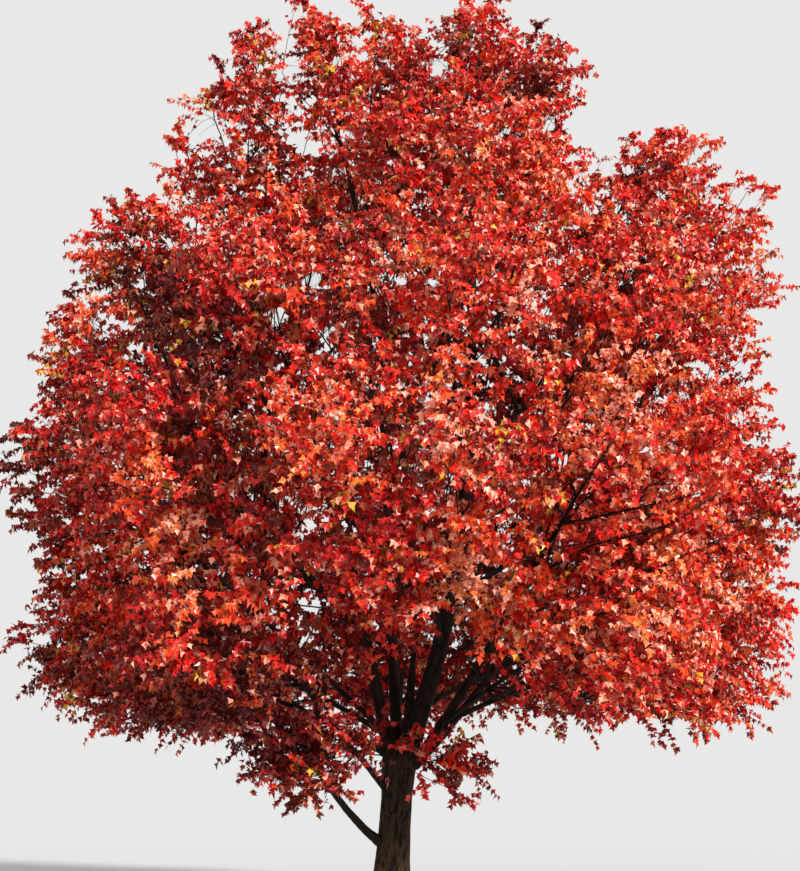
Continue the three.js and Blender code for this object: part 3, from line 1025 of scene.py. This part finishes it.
order = np.argsort(np.linalg.norm(tips - fork, axis=1))
shoot_nodes = [None] * len(tips)
for index in order:
    base, heading = bases[index], headings[index]
    to_base = base - node_place[:node_total]
    gap = np.linalg.norm(to_base, axis=1)
    turn_away = 1 - (to_base * node_heading[:node_total]).sum(1) / np.maximum(gap, 1e-6)
    cost = gap * (1 + TURN_COST * turn_away) + WAY_BACK * node_way[:node_total]
    parent = int(cost.argmin())
    start, leave = node_place[parent], node_heading[parent]
    if unit(to_base[parent]) @ heading < LEAST_AGREEMENT:
        headings[index] = heading = unit(tips[index] - start)
        base = start + (tips[index] - start) * 0.5
    span = max(np.linalg.norm(base - start), 0.02)
    toward = unit(base - start)
    leave = unit(leave * 0.5 + toward)
    swing = span * SWING
    curve = flowing_curve(start, leave * swing, base, heading * swing, max(1, int(span / STEP)))
    curve[:-1] += chance.normal(0, WANDER, curve[:-1].shape)
    bend = chance.normal(0, BEND, 3)
    u = np.linspace(0, 1, 5)[1:, None]
    shoot = base + (tips[index] - base) * u + bend * (u * (1 - u) * 2)
    line = np.vstack([curve, shoot])
    before = start
    own = []
    for place in line:
        way = node_way[parent] + np.linalg.norm(place - before)
        parent = add_node(place, unit(place - before), way, parent)
        before = place
        own.append(parent)
    shoot_nodes[index] = own[-5:] if len(own) > 4 else own
print(node_total - limb_nodes, "points of new wood")

# %% [markdown]
# ## Sprays
# A spray is a thin twig with its leaves, the unit that the eye reads as texture. Each shoot bears
# several: one carries its tip on, and the others leave its sides in turn and droop under their own
# weight. Sprays near the tip are shorter, which gives the shoot its pointed, flame-like shape.

# %% Spray twigs
SIDE_SPRAYS = 2
INNER_SIDE_SPRAYS = 2
SPRAY_LENGTH = (0.46, 0.70)
TIP_SPRAY_SHARE = 0.62
FIRST_SPRAY = 0.22
SPRAY_SPAN = 0.70
SPRAY_SPREAD = 0.95
WINDOW_CLEAR = 0.8

sprays = []
for index in range(len(tips)):
    nodes = shoot_nodes[index]
    line = node_place[nodes]
    number = SIDE_SPRAYS if is_outer[index] else INNER_SIDE_SPRAYS
    turn = chance.uniform(0, 2 * math.pi)
    heading = headings[index]
    sideways = unit(np.cross(heading, UP))
    upward = np.cross(sideways, heading)
    for k in range(number + 1):
        along = 1.0
        if k < number:
            along = FIRST_SPRAY + SPRAY_SPAN * k / number + chance.uniform(-0.05, 0.05)
        spot = along * (len(line) - 1)
        low = min(int(spot), len(line) - 2)
        start = line[low] + (line[low + 1] - line[low]) * (spot - low)
        if k == number:
            toward = heading
        else:
            turn += math.radians(137.5) if k % 2 else math.pi
            around = sideways * math.cos(turn) + upward * math.sin(turn) * 0.7
            toward = unit(heading * 0.65 + around * SPRAY_SPREAD)
        toward = unit(toward + chance.normal(0, 0.12, 3))
        length = chance.uniform(*SPRAY_LENGTH) * (TIP_SPRAY_SHARE if k == number else 1)
        sprays.append((start, toward, length, facings[index], not is_outer[index], nodes[low + 1]))
starts, towards, spans = (np.array([spray[k] for spray in sprays]) for k in range(3))
in_leaf = from_windows(starts + towards * spans[:, None] * 0.5) > WINDOW_CLEAR
sprays = [np.array(column)[in_leaf] for column in zip(*sprays)]
spray_start, spray_heading, spray_length, spray_facing, spray_inner, spray_node = sprays
spray_count = len(spray_start)
print(spray_count, "sprays,", int((~in_leaf).sum()), "left out for the windows")

# %% [markdown]
# ## Thickness of the wood
# An old rule says that a bough is as thick as all that it carries, put together. So each point of
# wood is given the number of sprays beyond it, and its radius follows from that number. Where a
# limb of the model ends, the leader that carries it on starts at the limb's own thickness.

# %% Radii from the load
TWIG_RADIUS = 0.0034
PIPE_POWER = 2.35
LEADER_FADE = 1.7
LEAST_TAPER = 0.97

load = np.zeros(node_total)
np.add.at(load, spray_node, 1.0)
for index in range(node_total - 1, limb_nodes - 1, -1):
    if load[index] > 0:
        load[node_parent[index]] += load[index]
grown = slice(limb_nodes, node_total)
node_radius[grown] = TWIG_RADIUS * np.maximum(load[grown], 1) ** (1 / PIPE_POWER)
node_radius[grown] = np.maximum(node_radius[grown], least_radius[grown])
alive = (load > 0) | (least_radius[:node_total] > 0)
children = [[] for _ in range(node_total)]
for index in range(limb_nodes, node_total):
    if alive[index]:
        children[node_parent[index]].append(index)
main_child = [max(own, key=lambda child: load[child]) if own else -1 for own in children]
for end in limb_ends:
    child, radius = main_child[end], node_radius[end]
    while child >= 0 and node_way[child] - node_way[end] < LEADER_FADE:
        fade = 1 - (node_way[child] - node_way[end]) / LEADER_FADE
        node_radius[child] = max(node_radius[child], radius * fade)
        child = main_child[child]
for index in range(limb_nodes, node_total):
    node_radius[index] = min(node_radius[index], node_radius[node_parent[index]] * LEAST_TAPER)
print("thickest new wood", round(node_radius[grown].max() * 1000), "mm in radius")

# %% [markdown]
# ## Boughs and twigs as tubes
# The new wood is thin and mostly hidden, so it is made of tapering tubes with few sides: six for
# boughs, four for branches and three for twigs. Each tube starts inside its parent and follows the
# stoutest child at every fork.

# %% Branch tubes
BOUGH_RADIUS = 0.02
BRANCH_RADIUS = 0.009


class Heap:
    """Collects points and faces of many small shapes."""

    def __init__(self):
        self.points, self.blocks, self.places, self.total = [], [], [], 0

    def add(self, points, blocks, place):
        self.points.append(points)
        self.places.append(place)
        self.blocks += [block + self.total for block in blocks]
        self.total += len(points)

    def joined(self):
        """All the points, one block of faces for each number of corners, and all the places."""
        by_size = {}
        for block in self.blocks:
            by_size.setdefault(block.shape[1], []).append(block)
        faces = [np.vstack(own) for own in by_size.values()]
        return np.vstack(self.points), faces, np.vstack(self.places)


def twig_place(points):
    """Where the grain of thin wood is measured from."""
    return points * np.array([1.0, 1.0, 0.4])


def thin_wood(name, heap):
    """One piece of bark from all the tubes in a heap."""
    points, faces, places = heap.joined()
    piece = make_piece(name, points, faces, twig_bark, True)
    add_bark_data(piece.data, places, np.zeros(len(places)))


branches = Heap()
for index in range(limb_nodes, node_total):
    parent = node_parent[index]
    if not alive[index] or (parent >= limb_nodes and main_child[parent] == index):
        continue
    chain = [index]
    while main_child[chain[-1]] >= 0:
        chain.append(main_child[chain[-1]])
    line = node_place[[parent, *chain]]
    radii = node_radius[[index, *chain]].copy()
    radii[0] = min(node_radius[parent], radii[0] * 1.3)
    sides = 6 if radii[1] > BOUGH_RADIUS else 4 if radii[1] > BRANCH_RADIUS else 3
    points, walls, ends = tubes(line[None], radii[None], sides)
    branches.add(points, [walls, ends], twig_place(points))
thin_wood("branches", branches)

# %% Spray tubes
SPRAY_SIDES = 3
DROOP = (0.15, 0.70)
SIDE_TWIGS = ((0.28, 1.0), (0.55, -1.0))
ROLL = math.radians(65)
SKIRT_HEIGHT = 1.4
SKIRT_FADE = 1.5
SIDE_TWIG_SHARE = (0.34, 0.5)

spray_droop = chance.uniform(*DROOP, spray_count) * (1 - 0.6 * np.clip(-spray_facing[:, 2], 0, 1))
spray_droop *= np.clip((spray_start[:, 2] - SKIRT_HEIGHT) / SKIRT_FADE, 0.3, 1)


def on_spray(share):
    """The point of every spray's twig at a share of its length."""
    share = np.broadcast_to(np.asarray(share, float), (spray_count,))[:, None]
    straight = spray_start + spray_heading * spray_length[:, None] * share
    return straight - UP * (spray_droop * spray_length)[:, None] * share**2


def along_spray(share):
    """The direction of every spray's twig at a share of its length."""
    return unit(spray_heading - 2 * UP * (spray_droop * share)[:, None])


level_side = unit(np.cross(spray_heading, UP))
roll = chance.uniform(-ROLL, ROLL, spray_count)[:, None]
spray_side = level_side * np.cos(roll) + np.cross(level_side, spray_heading) * np.sin(roll)
twigs = Heap()
line = np.stack([on_spray(0), on_spray(0.55), on_spray(1)], 1)
radii = np.repeat([[TWIG_RADIUS, TWIG_RADIUS * 0.75, TWIG_RADIUS * 0.35]], spray_count, 0)
points, walls, _ = tubes(line, radii, SPRAY_SIDES)
twigs.add(points, [walls], twig_place(points))
side_twig_lines = []
for share, side in SIDE_TWIGS:
    start = on_spray(share)
    toward = along_spray(share) * 0.7 + spray_side * side + chance.normal(0, 0.12, (spray_count, 3))
    length = spray_length * chance.uniform(*SIDE_TWIG_SHARE, spray_count)
    stop = start + unit(toward) * length[:, None]
    side_twig_lines.append((start, stop))
    line = np.stack([start, stop], 1)
    radii = np.repeat([[TWIG_RADIUS * 0.6, TWIG_RADIUS * 0.3]], spray_count, 0)
    points, walls, _ = tubes(line, radii, SPRAY_SIDES)
    twigs.add(points, [walls], twig_place(points))
thin_wood("twigs", twigs)

# %% [markdown]
# ## Leaves
# A red maple leaf has three strong lobes, and it sits opposite its twin on the twig. Its outline
# needs six points and four triangles, folded along the midrib, so that each half has its own light.
# A flat card with a cut-out picture would be cheaper, but it has no outline of its own, and it
# glints all over at once. The leaves hang out and down from the twig, and turn their faces to the
# light as far as they can, each a little differently.

# %% The outline of one leaf, for a leaf one unit long
SIDE_LOBE = (0.47, 0.42)
NOTCH = (0.23, 0.54)
FOLD = (0.15, 0.75)
CURL = (0.0, 0.30)
LEAF_LENGTH = (0.062, 0.092)
SHADE_LEAF_LENGTH = (0.10, 0.13)

half = np.array([SIDE_LOBE, NOTCH])
outline = np.vstack([[(0, 0)], half, [(0, 1)], half * [-1, 1]])
RIGHT = [(0, 1, 2), (0, 2, 3)]
LEFT = [(0, 5, 4), (0, 3, 5)]
leaf_corners = np.array(RIGHT + LEFT)
print("one leaf has", len(outline), "points and", len(leaf_corners), "triangles")

# %% Every leaf's place on its spray
MAIN_PAIRS = np.linspace(0.08, 0.95, 11)
SIDE_PAIRS = (0.25, 0.55, 0.85)
SHADE_LOSS = 0.42
SAG = (0.3, 1.5)
LEAN_ALONG = (0.1, 0.6)
CLEAR_VIEW = 0.045
WINDOW_RIM = (0.6, 1.15)

leaf_base, leaf_toward, leaf_spray = [], [], []
every_spray = np.arange(spray_count)


def add_leaves(base, along, side, sign):
    """A leaf on every spray: its base, and the way that its midrib points."""
    sag = chance.uniform(*SAG, spray_count)[:, None] * -UP
    toward = along * chance.uniform(*LEAN_ALONG, spray_count)[:, None] + side * sign * 0.8 + sag
    leaf_base.append(base)
    leaf_toward.append(unit(toward + chance.normal(0, 0.30, (spray_count, 3))))
    leaf_spray.append(every_spray)


def hides_bough(points):
    """True for points that are seen right in front of one of the boughs that show."""
    bough_seen, bough_y = seen_at(node_place[front_boughs]), node_place[front_boughs, 1]
    seen = seen_at(points)
    hides = np.zeros(len(points), bool)
    joined_on = [index for index in front_boughs[1:] if node_parent[index] == index - 1]
    for index in joined_on:
        k = index - limb_nodes
        run = bough_seen[k] - bough_seen[k - 1]
        along = np.clip((seen - bough_seen[k - 1]) @ run / (run @ run), 0, 1)
        away = np.linalg.norm(seen - bough_seen[k - 1] - along[:, None] * run, axis=1)
        hides |= (away < CLEAR_VIEW) & (points[:, 1] < bough_y[k])
    return hides


spray_upright = unit(np.cross(spray_side, spray_heading))
for number, share in enumerate(MAIN_PAIRS):
    side = spray_upright if number % 2 else spray_side
    for sign in (1, -1):
        add_leaves(on_spray(share), along_spray(share), side, sign)
add_leaves(on_spray(1.0), along_spray(1.0), spray_side, 0)
for start, stop in side_twig_lines:
    along = unit(stop - start)
    side = unit(np.cross(along, UP))
    for share in SIDE_PAIRS:
        for sign in (1, -1):
            add_leaves(start + (stop - start) * share, along, side, sign)
    add_leaves(stop, along, side, 0)
leaf_base, leaf_toward = np.vstack(leaf_base), np.vstack(leaf_toward)
leaf_spray = np.concatenate(leaf_spray)
kept = from_windows(leaf_base + leaf_toward * 0.05) > chance.uniform(*WINDOW_RIM, len(leaf_base))
kept &= ~hides_bough(leaf_base + leaf_toward * 0.03)
kept &= ~spray_inner[leaf_spray] | (chance.random(len(leaf_base)) > SHADE_LOSS)
leaf_base, leaf_toward, leaf_spray = leaf_base[kept], leaf_toward[kept], leaf_spray[kept]
leaf_count = len(leaf_base)
print(leaf_count, "leaves,", int((~kept).sum()), "shed in the shade or left out for the windows")

# %% [markdown]
# ## Dealing out the tints
# Each spray gets a mood from 0, dark wine, to 1, orange. Facing the sun makes it warmer, as painted
# light on the sunny side, depth in the crown makes it darker, as painted shade, and the tongues and
# hollows add their own painted light and shade on the front. Slow noise gives whole boughs a leaning
# of their own. The mood picks three tints, and nearly half of the spray's leaves take the first one.

# %% Moods and tints
SUNWARD = unit(np.array([0.66, -0.60, 0.48]))
MIDDLE_MOOD = 0.485
# Sprays that face the sun get warmer, brighter tints: partly the real turning of sun leaves, partly
# painted light.
SUN_WARMTH_AND_PAINTED_LIGHT = 0.17
BOUGH_LEANING = 0.30
TWIG_LEANING = 0.22
# Sprays inside the crown get darker tints: painted shade.
PAINTED_SHADE_INSIDE = 0.16
MOOD_CHANCE = 0.10
MOOD_SPREAD = 0.20
TINT_SHARES = (0.46, 0.30, 0.24)
# Single leaves that show their pale underside, which in sunny sprays also stand for painted glints,
# and single ones that have turned dark.
PALE_AND_GLINT_SHARE = 0.15
DARK_SHARE = 0.08

slow = np.array([noise.noise(Vector(p) * 0.55 + Vector((3.0, 5.0, 7.0))) for p in spray_start])
quick = np.array([noise.noise(Vector(p) * 1.7) for p in spray_start])
exposure = spray_facing @ SUNWARD
# Random tone plus painted light: warmer where the spray faces the sun, darker inside the crown, and
# brighter or darker along the strokes on the front.
tone_and_painted_light = MIDDLE_MOOD + SUN_WARMTH_AND_PAINTED_LIGHT * exposure + BOUGH_LEANING * slow + TWIG_LEANING * quick
tone_and_painted_light -= PAINTED_SHADE_INSIDE * spray_inner
tone_and_painted_light += chance.normal(0, MOOD_CHANCE, spray_count)
# The strokes paint light on the tongues and shade in the hollows.
tone_and_painted_light += relief_and_painted_light(spray_start + spray_heading * spray_length[:, None] * 0.5)
warmth = np.array([row[1] for row in TINTS.values()])
share = np.array([row[2] for row in TINTS.values()])
weight = share * np.exp(-(((tone_and_painted_light[:, None] - warmth) / MOOD_SPREAD) ** 2))
weight = np.cumsum(weight / weight.sum(1, keepdims=True), axis=1)
draws = chance.random((len(TINT_SHARES), spray_count))
spray_tints = (draws[..., None] > weight).sum(2)
leaf_draw = chance.choice(len(TINT_SHARES), leaf_count, p=TINT_SHARES)
leaf_tint = spray_tints[leaf_draw, leaf_spray]
# Pale coral leaves are more common in warm, sunny sprays, where they stand for painted glints as well as
# pale undersides.
pale_and_glint_chance = PALE_AND_GLINT_SHARE * np.clip((tone_and_painted_light - 0.15) / 0.4, 0.1, 1.8)
speck = chance.random(leaf_count)
leaf_tint[speck < pale_and_glint_chance[leaf_spray]] = list(TINTS).index("coral")
leaf_tint[speck > 1 - DARK_SHARE] = list(TINTS).index("wine")
for tint, number in zip(TINTS, np.bincount(leaf_tint, minlength=len(TINTS))):
    print(number, tint, "leaves")

# %% Building the leaves
FACE_UP = 0.35
FACE_CHANCE = 0.6

facing = spray_facing[leaf_spray] + UP * FACE_UP + chance.normal(0, FACE_CHANCE, (leaf_count, 3))
facing = unit(facing - leaf_toward * (facing * leaf_toward).sum(1, keepdims=True))
width = np.cross(facing, leaf_toward)
sunny_length = chance.uniform(*LEAF_LENGTH, leaf_count)
shade_length = chance.uniform(*SHADE_LEAF_LENGTH, leaf_count)
leaf_length = np.where(spray_inner[leaf_spray], shade_length, sunny_length)
fold = chance.uniform(*FOLD, leaf_count)
curl = chance.uniform(*CURL, leaf_count)


def leaf_points(chosen):
    """The six points of each chosen leaf."""
    x, y = outline[:, 0], outline[:, 1]
    lift = fold[chosen, None] * np.abs(x) - curl[chosen, None] * y**2
    size = leaf_length[chosen, None, None]
    blade = width[chosen, None] * x[:, None] + leaf_toward[chosen, None] * y[:, None]
    return leaf_base[chosen, None] + size * (blade + facing[chosen, None] * lift[..., None])


# %% One or two pieces for each tint
MOST_TRIANGLES = 190000

for number, tint in enumerate(TINTS):
    chosen = np.flatnonzero(leaf_tint == number)
    parts = math.ceil(len(chosen) * len(leaf_corners) / MOST_TRIANGLES)
    for part, own in enumerate(np.array_split(chosen, parts)):
        name = f"leaves_{tint}" + (f"_{part + 1}" if parts > 1 else "")
        points = leaf_points(own).reshape(-1, 3)
        first = np.arange(len(own))[:, None, None] * len(outline)
        faces = (leaf_corners + first).reshape(-1, 3)
        leaves = make_piece(name, points, [faces], leaf_materials[tint], False)
        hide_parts(*mass_names)

# %% [markdown]
# ## Ground and light
# The tree stands on plain pale ground under a soft studio sky. One broad lamp from the upper right
# models the crown: it lights the right side and the tops of the shoots, and leaves the hollows dark.

# %% Floor
FLOOR_SIZE = 160.0
floor_material = bpy.data.materials.new("pale_ground")
floor_material.use_nodes = True
floor_shader = floor_material.node_tree.nodes["Principled BSDF"]
floor_shader.inputs["Base Color"].default_value = (0.512, 0.521, 0.534, 1)
floor_shader.inputs["Roughness"].default_value = 0.9
floor_shader.inputs["Specular IOR Level"].default_value = 0.0
bpy.ops.mesh.primitive_plane_add(size=FLOOR_SIZE, location=(0, 0, -0.002))
floor = bpy.context.object
floor.name = "floor"
floor.data.materials.append(floor_material)

# %% Light
SUN_STRENGTH = 5.1
SUN_SOFTNESS = math.radians(9)
SKY_STRENGTH = 0.82

sun_data = bpy.data.lights.new("broad_key", "SUN")
sun_data.energy = SUN_STRENGTH
sun_data.angle = SUN_SOFTNESS
sun_data.color = (1.0, 0.96, 0.90)
sun = bpy.data.objects.new("broad_key", sun_data)
sun.rotation_euler = Vector(-SUNWARD).to_track_quat("-Z", "Y").to_euler()
bpy.context.scene.collection.objects.link(sun)
world = bpy.data.worlds.new("studio_sky")
world.use_nodes = True
sky = world.node_tree.nodes["Background"]
sky.inputs["Color"].default_value = (0.99, 0.985, 0.975, 1)
sky.inputs["Strength"].default_value = SKY_STRENGTH
bpy.context.scene.world = world
bpy.context.scene.view_settings.view_transform = "Standard"
